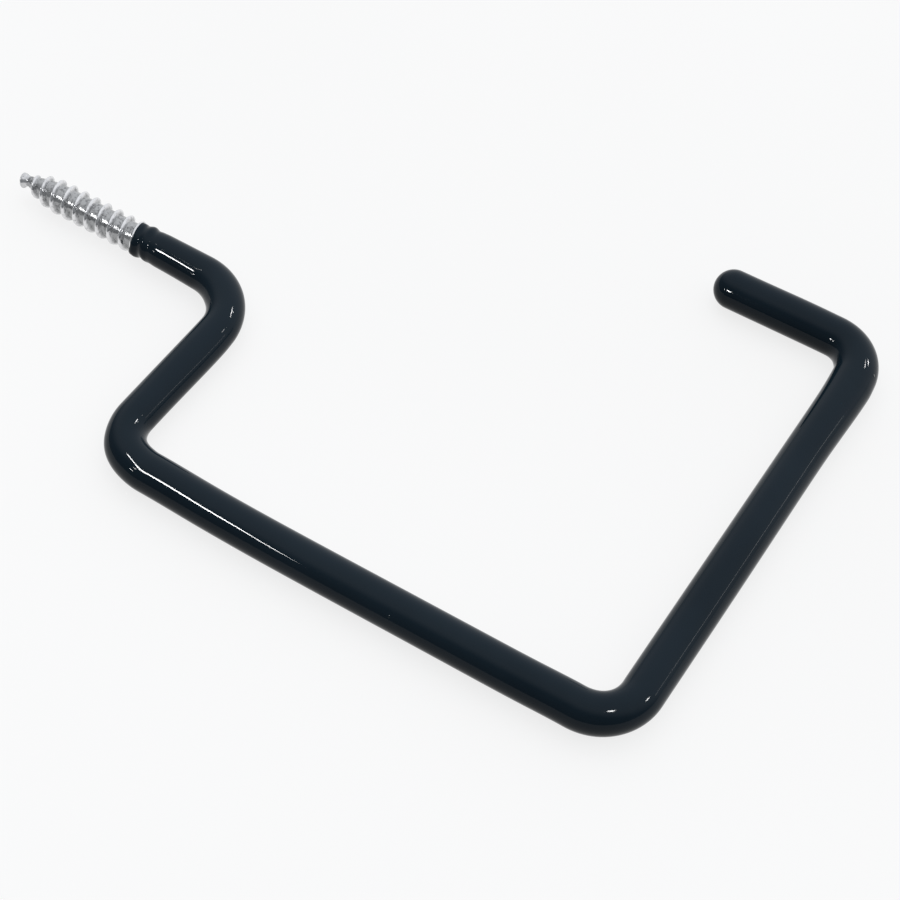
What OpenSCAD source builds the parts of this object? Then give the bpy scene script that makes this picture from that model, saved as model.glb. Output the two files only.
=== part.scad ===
// Screw-in storage hook: a bent steel rod with a rolled wood-screw thread and a dipped vinyl coat.
// The hook lies flat in the XY plane. X runs along the screw, away from the wall, and the origin is
// the point where the screw leaves the coat, so the wall's face is the plane X = 0.

/* [Rod] */
// Diameter of the steel rod
rod_d = 8; // [6:0.5:10]

/* [Hook] */
// Neck, from the wall to the centreline of the drop
neck = 34; // [34:1:60]
// Drop, from the neck's centreline to the long arm's
drop = 58.5; // [40:0.5:90]
// Long arm, from the drop's centreline to the far arm's
reach = 137; // [90:1:180]
// Far arm, from the long arm's centreline to the tip arm's
rise = 128; // [80:1:160]
// Tip arm, from the far arm's centreline to its round end
tip_arm = 43; // [30:1:70]

/* [Bends] */
// Centreline radius of the bend from the neck to the drop
neck_bend = 14; // [9:0.5:18]
// Angle of that bend
neck_turn = 88.7188; // [88.7188:Sprung back, 90:Square]
// Centreline radius of the bend from the drop to the long arm
low_bend = 12.5; // [9:0.5:18]
// Centreline radius of the bend from the long arm to the far arm
far_bend = 11; // [9:0.5:18]
// Centreline radius of the bend from the far arm to the tip arm
tip_bend = 10; // [9:0.5:18]

/* [Thread] */
// Length of bare screw, from the wall to the end of the nub
screw_len = 37; // [28:1:60]
// Diameter over the crests
crest_d = 8.9; // [8.2:0.1:10]
// Diameter in the grooves
root_d = 6.6; // [5.5:0.1:7.2]
// Distance from crest to crest
pitch = 3.65; // [3:0.05:5]
// Width of the rounded crest along the screw
crest_w = 0.6; // [0.3:0.1:0.9]
// Width of the ridge at its foot
ridge_w = 1.6; // [1.2:0.1:2.2]
// Length over which the screw tapers to the nub
point_len = 11.5; // [8:0.5:14]
// Length over which the thread runs out under the coat
runout = 11; // [6:0.5:13]
// Angle about the screw, from the hook's plane, at which the ridge passes the wall's face
wall_turn = 110; // [0:5:355]

/* [Nub] */
// Diameter of the nub's flared end
nub_d = 3.7; // [3:0.1:4.4]
// Diameter of the nub's waist
waist_d = 2.8; // [2:0.1:2.9]
// Length of the nub, from its end to the first rise of the thread
nub_len = 2.2; // [1.5:0.1:3]

/* [Coat] */
// Thickness of the coat where it begins on the neck
coat_thin = 0.35; // [0.3:0.05:0.6]
// Thickness of the coat that the far end gathers while it hangs to cure
coat_full = 1.1; // [0.8:0.05:1.6]
// Length of rod over which most of that extra thickness builds up
coat_fade = 90; // [50:5:150]
// Thickness of the coat over the thread's crests
crest_film = 0.2; // [0.15:0.05:0.4]
// Depth to which the coat sinks between the crests, below its own level on the neck
groove_sag = 0.3; // [0.1:0.05:0.35]
// Length of the lip's rounding at the wall
lip_round = 0.5; // [0.2:0.1:1]

/* [Hidden] */

$fn = 96;

rod_r = rod_d / 2;
crest_r = crest_d / 2;
root_r = root_d / 2;
waist_r = waist_d / 2;
nub_r = nub_d / 2;

// Depth by which a swept skin's hidden end sits inside the solid that it joins
bury = 0.04;
// Sides of the thread and of the coat's lip
sides = 32;

// Straight lengths between the bends
neck_cut = neck_bend * tan(neck_turn / 2);
neck_run = neck - neck_cut - runout;
drop_run = drop - neck_cut - low_bend;
reach_run = reach - low_bend - far_bend;
rise_run = rise - far_bend - tip_bend;
tip_run = tip_arm - tip_bend - coat_r(rod_len());

// Distance along the rod, from the lip, to the middle of each bend and to the free end
square_turn = 90;
function arc(bend_r, turn = square_turn) = bend_r * PI * turn / 180;
function at_neck_bend() = runout + neck_run + arc(neck_bend, neck_turn) / 2;
function at_low_bend() = at_neck_bend() + (arc(neck_bend, neck_turn) + arc(low_bend)) / 2 + drop_run;
function at_far_bend() = at_low_bend() + (arc(low_bend) + arc(far_bend)) / 2 + reach_run;
function at_tip_bend() = at_far_bend() + (arc(far_bend) + arc(tip_bend)) / 2 + rise_run;
function rod_len() = neck + drop + reach + rise + tip_arm;

// Radius of the coat at a distance from the lip: it thickens quickly, then levels out
function coat_r(along) = rod_r + coat_full - (coat_full - coat_thin) * exp(-along / coat_fade);

// Radii at the ends of the hook's path, at each bend, and at the round end
coat_radii = [for (along = [runout, at_neck_bend(), at_low_bend(), at_far_bend(), at_tip_bend(), rod_len()])
    coat_r(along)];
rod_radii = [for (r = coat_radii) rod_r];

// A straight stretch along X, and what follows it
module run(length, r_from, r_to) {
    rotate([0, 90, 0])
        cylinder(h = length, r1 = r_from, r2 = r_to);
    translate([length, 0, 0])
        children();
}

// A bend from X to the left, after the rod is rolled about X, and what follows it
module bend(bend_r, roll, r, turn = square_turn) {
    rotate([roll, 0, 0])
        translate([0, bend_r, 0]) {
            rotate([0, 0, -90])
                rotate_extrude(angle = turn)
                    translate([bend_r, 0])
                        circle(r);
            rotate([0, 0, turn])
                translate([0, -bend_r, 0])
                    children();
        }
}

// A half ball that closes a stretch along X
module dome(r) {
    rotate([0, 90, 0])
        rotate_extrude()
            intersection() {
                circle(r);
                square(r);
            }
}

// The bent path of the hook, from the end of the thread to the round free end.
// The rod is fed, rolled and bent in turn, and is turned over before its first two bends.
module hook_path(radii) {
    translate([runout, 0, 0])
        run(neck_run, radii[0], radii[1])
        bend(neck_bend, 180, radii[1], neck_turn)
        run(drop_run, radii[1], radii[2])
        bend(low_bend, 180, radii[2])
        run(reach_run, radii[2], radii[3])
        bend(far_bend, 0, radii[3])
        run(rise_run, radii[3], radii[4])
        bend(tip_bend, 0, radii[4])
        run(tip_run, radii[4], radii[5])
        dome(radii[5]);
}

// A point on a skin around X
function around(x, r, turn) = [x, r * cos(turn), r * sin(turn)];

// Share of a change that is done at x, from 0 at one place to 1 at another
function share(x, from, to) = min(1, max(0, (x - from) / (to - from)));

// Place of the point's start and of its full section
point_start = nub_len - screw_len;
point_end = point_start + point_len;

// The thread's turns are counted from the wall. Its skin starts and ends with hidden turns,
// squeezed into the nub's waist and into the rod.
point_turn = -ceil(-point_start / pitch) - 1;
last_turn = ceil(runout / pitch) + 1;
waist_len = nub_len / 2;
squeeze = waist_len / (2 * pitch + ridge_w);
function squeezed(x) = x < point_start
    ? point_start + (x - point_start) * squeeze
    : x > runout ? runout + (x - runout) * squeeze : x;

// Radius in the groove and over the crest, along the screw. On the point the groove deepens smoothly,
// and the ridge has nearly its full height from its first turn.
point_ease = 2;
ridge_ease = 6;
function point_left(x, power) = pow(1 - share(x, point_start, point_end), power);
function groove_r(x) = x < point_end
    ? root_r - (root_r - waist_r + bury) * point_left(x, point_ease)
    : root_r + (rod_r - bury - root_r) * share(x, 0, runout);
function ridge_r(x) = x < point_end
    ? groove_r(x) + (crest_r - root_r) * (1 - point_left(x, ridge_ease))
    : crest_r + (rod_r - bury - crest_r) * share(x, 0, runout);

// The ridge's section over one pitch: places along it, and heights from the groove to the crest
crest_edge = 0.9;
ridge_section = [
    [-ridge_w / 2, 0],
    [-crest_w / 2, crest_edge],
    [0, 1],
    [crest_w / 2, crest_edge],
    [ridge_w / 2, 0],
    [pitch / 2, 0]];
rows = len(ridge_section);

// A point of the thread's skin: the rows climb one pitch in each turn, as the ridge does
function skin_point(turn, row, k) =
    let (
        x = squeezed(pitch * (turn + k / sides) + ridge_section[row][0]),
        r = groove_r(x) + (ridge_r(x) - groove_r(x)) * ridge_section[row][1])
    around(x, r, 360 * k / sides + wall_turn);

// Number of a skin's point, where a row that has gone once around goes on as the row one pitch up
function skin_index(row, k) = k < sides ? row * sides + k : (row + rows) * sides + k - sides;

// The thread from one of its turns to its hidden end, as a closed skin with a spiral cap at each end
module thread_skin(first_turn) {
    points = [for (turn = [first_turn : last_turn], row = [0 : rows - 1], k = [0 : sides - 1])
        skin_point(turn, row, k)];
    last = (last_turn - first_turn + 1) * rows - 1;
    wall = [for (k = [0 : sides - 1], row = [0 : last - 1 - (k < sides - 1 ? 0 : rows)])
        let (a = skin_index(row, k), b = skin_index(row, k + 1),
            c = skin_index(row + 1, k + 1), d = skin_index(row + 1, k))
        each [[a, c, b], [a, d, c]]];
    first_edge = [
        for (k = [0 : sides]) skin_index(0, k),
        for (row = [rows - 1 : -1 : 1]) skin_index(row, 0)];
    last_edge = [
        for (row = [last - rows : last - 1]) skin_index(row, sides - 1),
        for (k = [sides - 1 : -1 : 0]) skin_index(last, k)];
    centres = [for (turn = [first_turn, last_turn]) [squeezed((turn + 0.5) * pitch), 0, 0]];
    caps = [for (cap = [[0, first_edge], [1, last_edge]], i = [0 : len(cap[1]) - 1])
        [len(points) + cap[0], cap[1][i], cap[1][(i + 1) % len(cap[1])]]];
    polyhedron(concat(points, centres), concat(wall, caps));
}

// The nub left at the point: a waist with a flared, dished end
module nub() {
    dish = (nub_r - waist_r) / 2;
    translate([-screw_len, 0, 0])
        rotate([0, 90, 0])
            rotate_extrude()
                polygon([
                    [0, dish],
                    [nub_r - dish, 0],
                    [nub_r, dish],
                    [waist_r, nub_len - waist_len],
                    [waist_r, nub_len + pitch],
                    [0, nub_len + pitch]]);
}

// Radius of the coat around the thread's last turns, which show through it
function lip_r(x, turn) =
    let (
        sag = groove_sag * (1 - share(x, 0, runout)),
        low = max(coat_r(x) - bury - sag, groove_r(x) + crest_film),
        high = max(low, ridge_r(x) + crest_film),
        from_crest = x / pitch - (turn - wall_turn) / 360)
    low + (high - low) * (1 + cos(360 * from_crest)) / 2;

// Distance by which the lip's rounding draws the coat in at x
function lip_inset(x) = crest_film / 2 * (1 - sqrt(1 - pow(1 - share(x, 0, lip_round), 2)));

// The coat over the thread, from the lip to where its surface is plain
module lip() {
    round_rows = 3;
    plain_rows = 22;
    hidden = pitch / 4;
    places = [
        for (i = [0 : round_rows]) lip_round * (1 - cos(90 * i / round_rows)),
        for (i = [1 : plain_rows]) lip_round + (runout - lip_round) * i / plain_rows,
        runout + hidden];
    rings = len(places);
    points = [for (x = places, k = [0 : sides - 1])
        let (turn = 360 * k / sides)
        around(x, lip_r(x, turn) - lip_inset(x) - (x > runout ? bury : 0), turn)];
    wall = [for (i = [0 : rings - 2], k = [0 : sides - 1])
        let (a = i * sides + k, b = i * sides + (k + 1) % sides)
        each [[a, b + sides, b], [a, a + sides, b + sides]]];
    start = [for (k = [0 : sides - 1]) k];
    end = [for (k = [sides - 1 : -1 : 0]) (rings - 1) * sides + k];
    polyhedron(points, concat(wall, [start, end]));
}

// The rod, one piece from the nub to the free end
module steel_rod() {
    color([0.72, 0.73, 0.75]) {
        nub();
        thread_skin(point_turn);
        hook_path(rod_radii);
    }
}

// The coat, dipped over the rod from the lip to the free end. Its bore is the rod's own form,
// with the thread taken from two turns in front of the wall.
module vinyl_coat() {
    bore_turn = -2;
    color([0.07, 0.09, 0.11])
        difference() {
            union() {
                lip();
                hook_path(coat_radii);
            }
            thread_skin(bore_turn);
            hook_path(rod_radii);
        }
}

steel_rod();
vinyl_coat();
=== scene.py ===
from math import cos, exp, pi, radians, sin, tan, tau

import bmesh
import bpy
from mathutils import Matrix, Vector, noise


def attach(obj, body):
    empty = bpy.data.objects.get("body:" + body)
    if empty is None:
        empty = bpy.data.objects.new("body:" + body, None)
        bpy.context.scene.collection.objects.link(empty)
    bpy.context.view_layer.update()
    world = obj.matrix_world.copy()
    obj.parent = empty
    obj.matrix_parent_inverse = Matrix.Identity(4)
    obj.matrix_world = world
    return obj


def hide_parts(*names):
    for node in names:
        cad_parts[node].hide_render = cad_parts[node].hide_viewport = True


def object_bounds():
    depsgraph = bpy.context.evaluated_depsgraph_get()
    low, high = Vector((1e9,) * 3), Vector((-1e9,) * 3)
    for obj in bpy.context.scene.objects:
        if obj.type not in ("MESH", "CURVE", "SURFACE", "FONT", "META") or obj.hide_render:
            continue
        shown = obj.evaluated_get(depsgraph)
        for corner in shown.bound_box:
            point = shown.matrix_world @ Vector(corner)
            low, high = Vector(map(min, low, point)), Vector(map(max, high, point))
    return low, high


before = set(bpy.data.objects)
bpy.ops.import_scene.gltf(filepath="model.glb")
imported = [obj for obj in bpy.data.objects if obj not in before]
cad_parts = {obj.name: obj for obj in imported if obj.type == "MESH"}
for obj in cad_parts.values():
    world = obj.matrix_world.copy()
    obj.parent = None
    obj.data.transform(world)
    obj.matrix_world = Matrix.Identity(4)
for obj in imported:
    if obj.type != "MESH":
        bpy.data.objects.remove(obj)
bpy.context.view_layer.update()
mm = 0.001  # sizes below are in millimetres, the scene is in metres
quarter = pi / 2

# the bent line of the rod, from the lip at the wall
hook = {
    "legs": (34, 58.5, 137, 128, 43),  # neck, drop, long arm, far arm, tip arm
    "bendRadii": (14, 12.5, 11, 10),
    "turns": (-88.7188, 90, 90, 90),  # the neck bends right, the others left
    "roundEnd": 5.09,  # the coat's radius at the free end
    # places where the bent rod leaves its straight line: along, reach before, reach after, shift to the left
    "sways": ((92, 8, 24, 0.7), (206, 9, 6, 0.25)),
}


# straight and bent stretches in turn: where each starts along the line, its x and y, heading and curvature
def layLine():
    radii, turns = hook["bendRadii"], [radians(t) for t in hook["turns"]]
    cuts = [0, *(r * tan(abs(t) / 2) for r, t in zip(radii, turns)), hook["roundEnd"]]
    stretches, along, x, y, heading = [], 0.0, 0.0, 0.0, 0.0
    for i, leg in enumerate(hook["legs"]):
        length = leg - cuts[i] - cuts[i + 1]
        stretches.append((along, x, y, heading, 0.0))
        along, x, y = along + length, x + length * cos(heading), y + length * sin(heading)
        if i < len(radii):
            curve = turns[i] / abs(turns[i]) / radii[i]
            stretches.append((along, x, y, heading, curve))
            along += radii[i] * abs(turns[i])
            x += (sin(heading + turns[i]) - sin(heading)) / curve
            y += (cos(heading) - cos(heading + turns[i])) / curve
            heading += turns[i]
    return stretches, along


stretches, lineEnd = layLine()


def swell(along, centre, before, after):
    reach = before if along < centre else after
    return exp(-((along - centre) / reach) ** 2)


def onLine(along):
    start, x, y, heading, curve = [s for s in stretches if s[0] <= max(along, 0)][-1]
    step = along - start
    if curve:
        x += (sin(heading + curve * step) - sin(heading)) / curve
        y += (cos(heading) - cos(heading + curve * step)) / curve
        heading += curve * step
    else:
        x, y = x + step * cos(heading), y + step * sin(heading)
    side = Vector((-sin(heading), cos(heading), 0))
    shift = sum(height * swell(along, *reach) for *reach, height in hook["sways"])
    return Vector((x, y, 0)) + side * shift, side


def ringPoint(along, radius, turn):
    centre, side = onLine(along)
    return (centre + radius * (side * cos(turn) + Vector((0, 0, sin(turn))))) * mm


def share(x, start, end):
    return min(1.0, max(0.0, (x - start) / (end - start)))


def ease(t):
    return t * t * (3 - 2 * t)


# a flat grid rolled around the rod's line: one row for each place, closed along its seam and at its poles
def rollSheet(name, places, sides, shape, mark=None, marking=None):
    sheet = bmesh.new()
    bmesh.ops.create_grid(sheet, x_segments=sides, y_segments=len(places) - 1, size=0.5)
    layer = sheet.verts.layers.float.new(mark) if mark else None
    for vert in sheet.verts:
        place = places[round((vert.co.y + 0.5) * (len(places) - 1))]
        turn = round((vert.co.x + 0.5) * sides) % sides * tau / sides
        vert.co = shape(place, turn)
        if mark:
            vert[layer] = marking(place, turn)
    bmesh.ops.remove_doubles(sheet, verts=sheet.verts, dist=1e-7)
    bmesh.ops.recalc_face_normals(sheet, faces=sheet.faces)
    mesh = bpy.data.meshes.new(name)
    sheet.to_mesh(mesh)
    sheet.free()
    mesh.shade_smooth()
    piece = bpy.data.objects.new(name, mesh)
    bpy.context.scene.collection.objects.link(piece)
    print(name, "has", len(mesh.polygons), "faces")
    return piece


def steps(start, end, count):
    return [start + (end - start) * i / count for i in range(count)]


# the rod with its rolled thread
rod = {
    "radius": 4.0,
    "screwLength": 37, "crestRadius": 4.45, "rootRadius": 3.3,
    "pitch": 3.65, "crestWidth": 0.6, "ridgeWidth": 1.7, "crownShare": 0.12, "flankEase": 0.4,
    "pointLength": 11.5, "runout": 11, "wallTurn": radians(110),
    "waistRadius": 1.4, "nubLength": 2.2, "pointEase": 2, "ridgeEase": 6,
    # end of the nub: distance from the end, radius
    "nubProfile": ((0.35, 0), (0.25, 0.6), (0.08, 1.25), (0, 1.6), (0.03, 1.8), (0.14, 1.92), (0.34, 1.95),
                   (0.6, 1.87), (0.95, 1.67), (1.3, 1.5), (1.7, 1.42), (2.2, 1.4)),
    # the nub's end is sheared off at a slant and bent a little
    "nubLean": 0.25, "nubDrop": 0.5, "nubTurn": radians(47), "nubFace": 0.4,
    "crestNicks": 0.035, "nickPace": 1.3, "nickFrom": 0.15, "rootGrain": 0.02, "grainPace": 3.1,
    "plainMark": 0.5,  # stands for the ridge where there is no thread
    "sides": 96, "row": 0.12, "runStep": 12, "bendStep": 1.5, "domeRows": 8,
}
pointStart = rod["nubLength"] - rod["screwLength"]
pointEnd = pointStart + rod["pointLength"]


def pointLeft(x, power):
    return (1 - share(x, pointStart, pointEnd)) ** power


def grooveRadius(x):
    if x < pointEnd:
        return rod["rootRadius"] - (rod["rootRadius"] - rod["waistRadius"]) * pointLeft(x, rod["pointEase"])
    return rod["rootRadius"] + (rod["radius"] - rod["rootRadius"]) * share(x, 0, rod["runout"])


def ridgeRadius(x):
    if x < pointEnd:
        rise = 1 - pointLeft(x, rod["ridgeEase"])
        return grooveRadius(x) + (rod["crestRadius"] - rod["rootRadius"]) * rise
    return rod["crestRadius"] + (rod["radius"] - rod["crestRadius"]) * share(x, 0, rod["runout"])


# distance along the screw from the nearest crest
def fromCrest(x, turn):
    turns = x / rod["pitch"] - (turn - rod["wallTurn"]) / tau
    return (turns - round(turns)) * rod["pitch"]


# 0 in the groove, 1 on the crest
def ridgeShare(x, turn):
    away = abs(fromCrest(x, turn))
    flat, foot = rod["crestWidth"] / 2, rod["ridgeWidth"] / 2
    flank = share(away, foot, flat)
    slope = (1 - rod["flankEase"]) * flank + rod["flankEase"] * ease(flank)
    crown = max(0, 1 - (away / flat) ** 2)
    return (1 - rod["crownShare"]) * slope + rod["crownShare"] * crown


def threadRadius(x, turn):
    high = ridgeShare(x, turn)
    spot = Vector((x, cos(turn) * rod["radius"], sin(turn) * rod["radius"]))
    nick = rod["crestNicks"] * max(0, noise.noise(spot * rod["nickPace"]) - rod["nickFrom"]) * high
    rough = rod["rootGrain"] * noise.noise(spot * rod["grainPace"]) * (1 - high)
    return grooveRadius(x) + (ridgeRadius(x) - grooveRadius(x)) * high - nick + rough


# a place on the rod is how far along it lies and its radius, or none on the thread
def rodShape(place, turn):
    along, radius = place
    if radius is None:
        return ringPoint(along, threadRadius(along, turn), turn)
    slant = 1 - share(along, rod["nubFace"] - rod["screwLength"], pointStart)
    along -= rod["nubLean"] * radius * cos(turn - rod["nubTurn"]) * slant
    bent = Vector((0, cos(rod["nubTurn"]), sin(rod["nubTurn"]))) * rod["nubDrop"] * slant
    return ringPoint(along, radius, turn) - bent * mm


def ridgeMark(place, turn):
    along, radius = place
    return ridgeShare(along, turn) if radius is None else rod["plainMark"]


# rows along the coated arms, from the thread's runout to the free end
def armPlaces(runStep, bendStep):
    places = []
    ends = [stretch[0] for stretch in stretches[1:]] + [lineEnd]
    for (begin, *_, curve), last in zip(stretches, ends):
        first = max(rod["runout"], begin)
        if last > first:
            step = bendStep if curve else runStep
            places += steps(first, last, max(1, round((last - first) / step)))
    return places + [lineEnd]


def domePlaces(radius, count):
    angles = [quarter * i / count for i in range(1, count)]
    return [(lineEnd + radius * sin(a), radius * cos(a)) for a in angles] + [(lineEnd + radius, 0)]


threadRows = round((rod["runout"] - pointStart) / rod["row"])
rodPlaces = [(d - rod["screwLength"], r) for d, r in rod["nubProfile"][:-1]]
rodPlaces += [(x, None) for x in steps(pointStart, rod["runout"], threadRows)]
rodPlaces += [(a, rod["radius"]) for a in armPlaces(rod["runStep"], rod["bendStep"])]
rodPlaces += domePlaces(rod["radius"], rod["domeRows"])
rodPiece = rollSheet("rodSkin", rodPlaces, rod["sides"], rodShape, "ridge", ridgeMark)

# the vinyl coat, from its bore to the lip and back along its outside
coat = {
    "thin": 0.35, "full": 1.1, "fade": 90,
    "crestFilm": 0.2, "grooveSag": 0.3, "waves": (3, 8),  # the thread shows through up to here
    "lipRound": 0.9, "lipDrop": 0.5, "lipSwing": 0.4, "lipSwingTurn": radians(140),
    "lipWave": 0.15, "lipWavePace": 2, "lipWaveSeed": 0.3,
    # fuller and leaner places of the dipped skin: along, reach before, reach after, side, height
    "pools": ((29, 13, 8, -1, 0.75), (46, 7, 18, 1, 0.6), (84, 4, 5, -1, 0.35), (91, 9, 14, 1, 0.5),
              (112, 14, 60, -1, 0.28), (217, 5, 5, 1, -0.2), (262, 40, 50, -1, 0.15), (328, 16, 5, -1, 0.65),
              (337, 9, 7, 1, 0.7), (356, 8, 10, -1, 0.2)),
    "poolFocus": 1.5,
    "ripple": 0.006, "rippleSize": 7, "rippleRadius": 5, "rippleSpan": (2, 12),
    "boreSink": 0.02,  # the bore lies this far inside the rod's skin, so that no gap shows
    "sides": 72, "row": 0.9, "bendRow": 0.7, "lipRow": 0.16, "faceRows": 3, "edgeRows": 8, "domeRows": 14,
    "boreRow": 14, "boreBendRow": 2.5, "boreDomeRows": 6, "threadBoreRows": 40,
}


def plainRadius(along):
    return rod["radius"] + coat["full"] - (coat["full"] - coat["thin"]) * exp(-max(along, 0) / coat["fade"])


def overThread(x, turn):
    shown = 1 - ease(share(x, *coat["waves"]))
    low = max(plainRadius(x) - coat["grooveSag"] * shown, grooveRadius(x) + coat["crestFilm"])
    high = low + max(0, ridgeRadius(x) + coat["crestFilm"] - low) * shown
    return low + (high - low) * (1 + cos(tau * fromCrest(x, turn) / rod["pitch"])) / 2


def coatRadius(along, turn):
    radius = overThread(along, turn) if along < rod["runout"] else plainRadius(along)
    for centre, before, after, side, height in coat["pools"]:
        facing = max(0, side * cos(turn))
        radius += height * swell(along, centre, before, after) * facing ** coat["poolFocus"]
    around = coat["rippleRadius"]
    spot = Vector((along, around * cos(turn), around * sin(turn))) / coat["rippleSize"]
    return radius + coat["ripple"] * noise.noise(spot) * share(along, *coat["rippleSpan"])


def boreRadius(along, turn):
    return threadRadius(along, turn) - coat["boreSink"]


def lipPlace(turn):
    spot = Vector((cos(turn), sin(turn), coat["lipWaveSeed"])) * coat["lipWavePace"]
    wave = coat["lipWave"] * noise.noise(spot)
    return coat["lipSwing"] * cos(2 * (turn - coat["lipSwingTurn"])) + wave


def lipFade(along):
    return 1 - share(along, 0, rod["runout"])


def plainBore(turn, along, radius):
    return ringPoint(along, radius, turn)


def threadBore(turn, along):
    along += lipPlace(turn) * lipFade(along)
    return ringPoint(along, boreRadius(along, turn), turn)


def lipFace(turn, part):
    lip = lipPlace(turn)
    inner = boreRadius(lip, turn)
    outer = max(inner, coatRadius(lip + coat["lipRound"], turn) - coat["lipDrop"])
    return ringPoint(lip, inner + (outer - inner) * part, turn)


def lipEdge(turn, angle):
    lip = lipPlace(turn)
    outer = coatRadius(lip + coat["lipRound"], turn)
    inner = max(outer - coat["lipDrop"], boreRadius(lip, turn))
    along = lip + coat["lipRound"] * (1 - cos(angle))
    return ringPoint(along, inner + (outer - inner) * sin(angle), turn)


def lipSkin(turn, along):
    along += (lipPlace(turn) + coat["lipRound"]) * lipFade(along)
    return ringPoint(along, coatRadius(along, turn), turn)


def armSkin(turn, along):
    return ringPoint(along, coatRadius(along, turn), turn)


def endDome(turn, angle):
    full = coatRadius(lineEnd, turn)
    return ringPoint(lineEnd + full * sin(angle), full * cos(angle), turn)


# a place on the coat is one of the parts above, with its own numbers
def coatShape(place, turn):
    part, *values = place
    return part(turn, *values)


lipRows = round(rod["runout"] / coat["lipRow"])
boreArms = armPlaces(coat["boreRow"], coat["boreBendRow"])
coatPlaces = [(plainBore, *place) for place in reversed(domePlaces(rod["radius"], coat["boreDomeRows"]))]
coatPlaces += [(plainBore, a, rod["radius"]) for a in reversed(boreArms)]
coatPlaces += [(threadBore, a) for a in reversed(steps(0, rod["runout"], coat["threadBoreRows"]))]
coatPlaces += [(lipFace, i / coat["faceRows"]) for i in range(1, coat["faceRows"])]
coatPlaces += [(lipEdge, quarter * i / coat["edgeRows"]) for i in range(coat["edgeRows"])]
coatPlaces += [(lipSkin, a) for a in steps(0, rod["runout"], lipRows)]
coatPlaces += [(armSkin, a) for a in armPlaces(coat["row"], coat["bendRow"])]
coatPlaces += [(endDome, quarter * i / coat["domeRows"]) for i in range(1, coat["domeRows"] + 1)]
coatPiece = rollSheet("coatSkin", coatPlaces, coat["sides"], coatShape)

for piece, node, slot in ((rodPiece, "steel_rod", "zinc_steel"), (coatPiece, "vinyl_coat", "black_vinyl")):
    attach(piece, "root")
    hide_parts(node)
print("pieces are in place")


# one socket of a node tree, so that shader maths reads as an expression
class Wire:
    def __init__(self, tree, socket=None):
        self.tree, self.socket = tree, socket

    def node(self, kind, settings=None, values=None, out=0):
        made = self.tree.nodes.new(kind)
        for name, value in (settings or {}).items():
            setattr(made, name, value)
        for key, value in (values or {}).items():
            if isinstance(value, Wire):
                self.tree.links.new(value.socket, made.inputs[key])
            else:
                made.inputs[key].default_value = value
        return Wire(self.tree, made.outputs[out] if len(made.outputs) else None)

    def maths(self, operation, first, second):
        return self.node("ShaderNodeMath", {"operation": operation}, {0: first, 1: second})

    def mix(self, amount, first, second):
        return self.node("ShaderNodeMix", {"data_type": "RGBA"}, {0: amount, 6: first, 7: second}, 2)

    def span(self, low, high, start=0.0, end=1.0):
        return self.node("ShaderNodeMapRange", {"interpolation_type": "SMOOTHSTEP"},
                         {0: self, 1: low, 2: high, 3: start, 4: end})

    def __add__(self, other):
        return self.maths("ADD", self, other)

    __radd__ = __add__

    def __rsub__(self, other):
        return self.maths("SUBTRACT", other, self)

    def __mul__(self, other):
        return self.maths("MULTIPLY", self, other)

    __rmul__ = __mul__


def newFinish(name):
    finish = bpy.data.materials.new(name)
    finish.use_nodes = True
    finish.node_tree.nodes.clear()
    return finish, Wire(finish.node_tree)


def onPiece(start):
    return start.node("ShaderNodeTexCoord", out="Object")


def grain(start, scale, detail=3.0, rough=0.5, distort=0.0, stretch=None):
    place = onPiece(start)
    if stretch:
        place = start.node("ShaderNodeMapping", {}, {0: place, 3: stretch})
    values = {"Vector": place, "Scale": scale, "Detail": detail, "Roughness": rough, "Distortion": distort}
    return start.node("ShaderNodeTexNoise", {}, values)


def bump(start, height, strength, depth):
    return start.node("ShaderNodeBump", {}, {"Strength": strength, "Distance": depth * mm, "Height": height})


def finishWith(start, values):
    shader = start.node("ShaderNodeBsdfPrincipled", {}, values)
    start.node("ShaderNodeOutputMaterial", {}, {"Surface": shader})


# glossy dipped vinyl, blue-black, faintly clouded, with a few dust nibs
vinyl = {
    "dark": (0.006, 0.014, 0.022, 1), "light": (0.010, 0.020, 0.030, 1),
    "cloudScale": 30, "cloudSpan": (0.3, 0.7), "fineScale": 420, "fineShare": 0.2,
    "gloss": 0.03, "haze": 0.03, "hazeScale": 55, "hazeSpan": (0.45, 0.8), "shine": 0.12,
    "nibScale": 95, "nibSize": 0.045, "patchScale": 40, "patchSpan": (0.56, 0.62),
    "nibStrength": 0.8, "nibDepth": 0.4,
}


def mixVinyl():
    finish, start = newFinish("dippedVinyl")
    cloud = grain(start, vinyl["cloudScale"], 4).span(*vinyl["cloudSpan"])
    tone = cloud * (1 - vinyl["fineShare"]) + grain(start, vinyl["fineScale"]) * vinyl["fineShare"]
    nibs = start.node("ShaderNodeTexVoronoi", {"feature": "F1"},
                      {"Vector": onPiece(start), "Scale": vinyl["nibScale"]})
    patches = grain(start, vinyl["patchScale"], 1).span(*vinyl["patchSpan"])
    haze = grain(start, vinyl["hazeScale"]).span(*vinyl["hazeSpan"])
    finishWith(start, {
        "Base Color": start.mix(tone, vinyl["dark"], vinyl["light"]),
        "Roughness": vinyl["gloss"] + vinyl["haze"] * haze,
        "Specular IOR Level": vinyl["shine"],
        "Normal": bump(start, nibs.span(0.0, vinyl["nibSize"], 1.0, 0.0) * patches,
                       vinyl["nibStrength"], vinyl["nibDepth"]),
    })
    return finish


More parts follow.
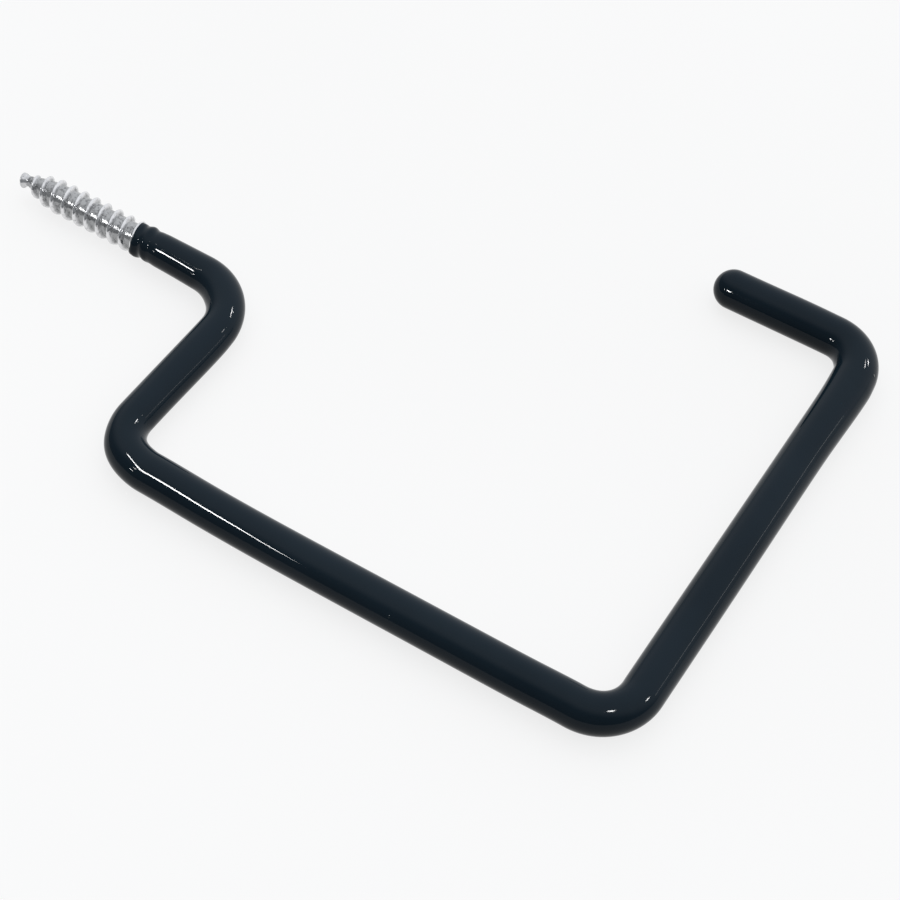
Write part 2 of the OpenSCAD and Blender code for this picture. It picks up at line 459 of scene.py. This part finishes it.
# zinc plate on rolled steel: bright on the crests, duller and grained in the grooves; the darker grooves are
# partly dull zinc and partly painted shade
zinc = {
    "bright": (0.80, 0.80, 0.81, 1), "dullAndGrooveShade": (0.44, 0.445, 0.45, 1), "stain": (0.08, 0.08, 0.085, 1),
    "mottleScale": 700, "streakScale": 900, "streakStretch": (0.25, 1.0, 1.0), "fineScale": 2600,
    # the ridge share makes the crests lighter and the grooves darker: partly wear, partly painted shade in
    # the grooves
    "ridgeWearAndShade": 0.7, "mottleWear": 0.5, "wearAndShadeSpan": (0.25, 0.85),
    "stainScale": 900, "stainSpan": (0.5, 0.64), "ridgeClean": 0.7, "stainDepth": 0.75,
    "metal": 0.55, "wornMetal": 0.35, "polish": 0.07, "rough": 0.2,
    "streakBump": 0.5, "mottleBump": 0.3, "fineBump": 0.2, "bumpStrength": 0.5, "bumpDepth": 0.25,
}


def mixZinc():
    finish, start = newFinish("zincPlate")
    ridge = start.node("ShaderNodeAttribute", {"attribute_name": "ridge"}, {}, "Fac")
    mottle = grain(start, zinc["mottleScale"], 4, 0.6)
    streaks = grain(start, zinc["streakScale"], 3, 0.6, stretch=zinc["streakStretch"])
    # crests lighter and grooves darker by the ridge share, partly wear and partly painted shade in the
    # grooves, with random mottle on top
    wearAndGrooveShade = (ridge * zinc["ridgeWearAndShade"] + mottle * zinc["mottleWear"]).span(*zinc["wearAndShadeSpan"])
    spots = grain(start, zinc["stainScale"], 5, 0.7, 0.6).span(*zinc["stainSpan"])
    stain = spots * (1 - ridge * zinc["ridgeClean"]) * zinc["stainDepth"]
    relief = streaks * zinc["streakBump"] + mottle * zinc["mottleBump"]
    relief = relief + grain(start, zinc["fineScale"], 2) * zinc["fineBump"]
    # the dull colour carries the painted shade in the grooves
    plate = start.mix(wearAndGrooveShade, zinc["dullAndGrooveShade"], zinc["bright"])
    finishWith(start, {
        "Base Color": start.mix(stain, plate, zinc["stain"]),
        "Metallic": zinc["metal"] + zinc["wornMetal"] * wearAndGrooveShade,
        "Roughness": zinc["polish"] + zinc["rough"] * (1 - wearAndGrooveShade) * streaks,
        "Normal": bump(start, relief, zinc["bumpStrength"], zinc["bumpDepth"]),
    })
    return finish


coatPiece.data.materials.append(mixVinyl())
rodPiece.data.materials.append(mixZinc())
print("finishes are mixed")

# pale floor under the hook's lowest point, lifted to near white for the camera and in what mirrors it
paleFloor = {
    "size": 6000, "centre": 80, "cells": 4,
    "low": (0.17, 0.17, 0.17, 1), "high": (0.19, 0.19, 0.19, 1), "toneScale": 3, "toneSpan": (0.3, 0.7),
    "lift": (0.80, 0.80, 0.80, 1), "noLift": (0, 0, 0, 1),
    "liftedRays": ("Is Camera Ray", "Is Glossy Ray", "Is Transmission Ray"),
}


def layFloor():
    sheet = bmesh.new()
    cells, low = paleFloor["cells"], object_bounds()[0][2]
    bmesh.ops.create_grid(sheet, x_segments=cells, y_segments=cells, size=paleFloor["size"] * mm / 2)
    bmesh.ops.translate(sheet, verts=sheet.verts, vec=(paleFloor["centre"] * mm, 0, low))
    mesh = bpy.data.meshes.new("floor")
    sheet.to_mesh(mesh)
    sheet.free()
    floor = bpy.data.objects.new("floor", mesh)
    bpy.context.scene.collection.objects.link(floor)
    finish, start = newFinish("paleFloor")
    tone = grain(start, paleFloor["toneScale"], 2).span(*paleFloor["toneSpan"])
    lifted = sum(start.node("ShaderNodeLightPath", out=ray) for ray in paleFloor["liftedRays"])
    finishWith(start, {
        "Base Color": start.mix(tone, paleFloor["low"], paleFloor["high"]),
        "Roughness": 0.9,
        "Specular IOR Level": 0.0,
        "Emission Color": start.mix(lifted, paleFloor["noLift"], paleFloor["lift"]),
        "Emission Strength": 1.0,
    })
    mesh.materials.append(finish)


layFloor()

# gloss strips that the coat and thread mirror: from, to, width, brightness of the lamp's face;
# a louvred strip is a row of lamps: first and last place it lights, degrees it opens, how many lamps
strips = {
    "screwStrip": ((-550, -580, 600), (-430, -574, 600), 240, 20, (-30, 0, 4), (-4, 0, 4), 10, 3),
    "neckStrip": ((-474, -576, 600), (-390, -574, 600), 150, 240, (4, 0, 4), (22, 0, 4), 3.5, 3),
    "armHead": ((-394, -124, 600), (-318, -345, 600), 30, 190, (41, -55, 4), (47, -58, 4), 3.6, 4),
    "armStrip": ((-320, -335, 600), (-247, -612, 600), 44, 190, (47, -58, 5), (80, -58, 5), 3.6, 6),
    "armTail": ((-248, -600, 600), (-237, -780, 600), 22, 100, (66, -58, 5), (97, -58, 5), 4, 3),
    "tipSpark": ((22, -189, 138), (72, -189, 138), 26, 200, (131, 69, 4), (131, 69, 4), 10, 1),
    "innerSpark": ((-850, -1158, 600), (-720, -1158, 600), 90, 170, (161, 68, 4), (161, 68, 4), 4, 1),
    "backStrip": ((204, 780, 600), (404, 720, 600), 30, 150, (35, -9, 4), (35, -9, 4), 9, 1),
    "tipStrip": ((453, 984, 600), (593, 984, 600), 30, 170, (170, 65, 5), (170, 65, 5), 5, 1),
    "lowSpark": ((611, 596, 600), (637, 596, 600), 26, 60, (34, -48, 4), (34, -48, 4), 4, 1),
    "farSpark": ((861, 310, 600), (941, 230, 600), 80, 90, (169, -50, 4), (169, -50, 4), 6, 1),
    "topSpark": ((360, -170, 600), (432, -142, 600), 80, 130, (166, -56, 4), (166, -56, 4), 6, 1),
    "sideStrip": ((773, 300, 257), (773, 540, 257), 22, 6),
}
rodStrip = "screwStrip"  # lights the rod alone, the others the coat alone
softbox = {"place": (-250, 500, 1100), "aim": (80, 0, 0), "size": 900, "brightness": 0.8}


# louvres narrow a lamp's light, and its energy comes down with them, so that its face stays as bright
def hangLamp(name, spot, target, across, width, height, brightness, opening=0.0):
    light = bpy.data.lights.new(name, "AREA")
    light.shape, light.size, light.size_y = "RECTANGLE", width * mm, height * mm
    light.energy = brightness * pi * width * height * mm * mm
    if opening:
        light.spread = 2 * opening
        light.energy *= 1 - opening / tan(opening)
    lamp = bpy.data.objects.new(name, light)
    back = (spot - target).normalized()
    side = (across - back * across.dot(back)).normalized()
    turn = Matrix((side, back.cross(side), back)).transposed()
    lamp.matrix_world = Matrix.Translation(spot * mm) @ turn.to_4x4()
    bpy.context.scene.collection.objects.link(lamp)
    return lamp


def onlyFor(piece, name):
    receivers = bpy.data.collections.new(name)
    receivers.objects.link(piece)
    return receivers


def hangLamps():
    onlyCoat, onlyRod = onlyFor(coatPiece, "onlyCoat"), onlyFor(rodPiece, "onlyRod")
    middle, size = Vector(softbox["aim"]), softbox["size"]
    for name, (start, end, width, brightness, *louvre) in strips.items():
        first, last, opening, count = louvre or (middle, middle, 0, 1)
        run = (Vector(end) - Vector(start)) / count
        for i in range(count):
            place = (i + 0.5) / count
            spot, target = Vector(start).lerp(Vector(end), place), Vector(first).lerp(Vector(last), place)
            lamp = hangLamp(name, spot, target, run, run.length, width, brightness, radians(opening))
            lamp.visible_diffuse = False
            lamp.light_linking.receiver_collection = onlyRod if name == rodStrip else onlyCoat
    spot, across = Vector(softbox["place"]), Vector((1, 0, 0))
    box = hangLamp("softbox", spot, middle, across, size, size, softbox["brightness"])
    box.visible_glossy = False


hangLamps()

# the room: bright overhead and behind, darker low in front
room = {
    "bright": (0.95, 0.97, 1.0, 1), "dim": (0.22, 0.23, 0.24, 1),
    "up": (0.05, 0.6, 0.8), "span": (0.1, 0.65),
}


def paintRoom():
    world = bpy.data.worlds.new("room")
    bpy.context.scene.world = world
    world.use_nodes = True
    world.node_tree.nodes.clear()
    start = Wire(world.node_tree)
    look = start.node("ShaderNodeTexCoord", out="Generated")
    rise = start.node("ShaderNodeVectorMath", {"operation": "DOT_PRODUCT"}, {0: look, 1: room["up"]}, "Value")
    colour = start.mix(rise.span(*room["span"]), room["dim"], room["bright"])
    back = start.node("ShaderNodeBackground", {}, {"Color": colour, "Strength": 1.0})
    start.node("ShaderNodeOutputWorld", {}, {"Surface": back})


paintRoom()

# camera at the photograph's place, with its focal length and width in the photograph's pixels
view = {
    "place": (262.339, -290.734, 407.269),
    "right": (0.83750, 0.54486, 0.04152),
    "down": (0.44966, -0.64401, -0.61892),
    "ahead": (-0.31049, 0.53701, -0.78436),
    "focal": 2216.0, "picture": 900, "sensor": 36, "near": 10, "far": 50000,
}


def setCamera():
    data = bpy.data.cameras.new("camera")
    data.sensor_fit, data.sensor_width = "HORIZONTAL", view["sensor"]
    data.lens = view["focal"] / view["picture"] * view["sensor"]
    data.clip_start, data.clip_end = view["near"] * mm, view["far"] * mm
    camera = bpy.data.objects.new("camera", data)
    axes = Matrix((view["right"], [-v for v in view["down"]], [-v for v in view["ahead"]])).transposed()
    camera.matrix_world = Matrix.Translation(Vector(view["place"]) * mm) @ axes.to_4x4()
    bpy.context.scene.collection.objects.link(camera)
    bpy.context.scene.camera = camera


setCamera()
bpy.context.scene.view_settings.view_transform = "Standard"
print("stage is set")
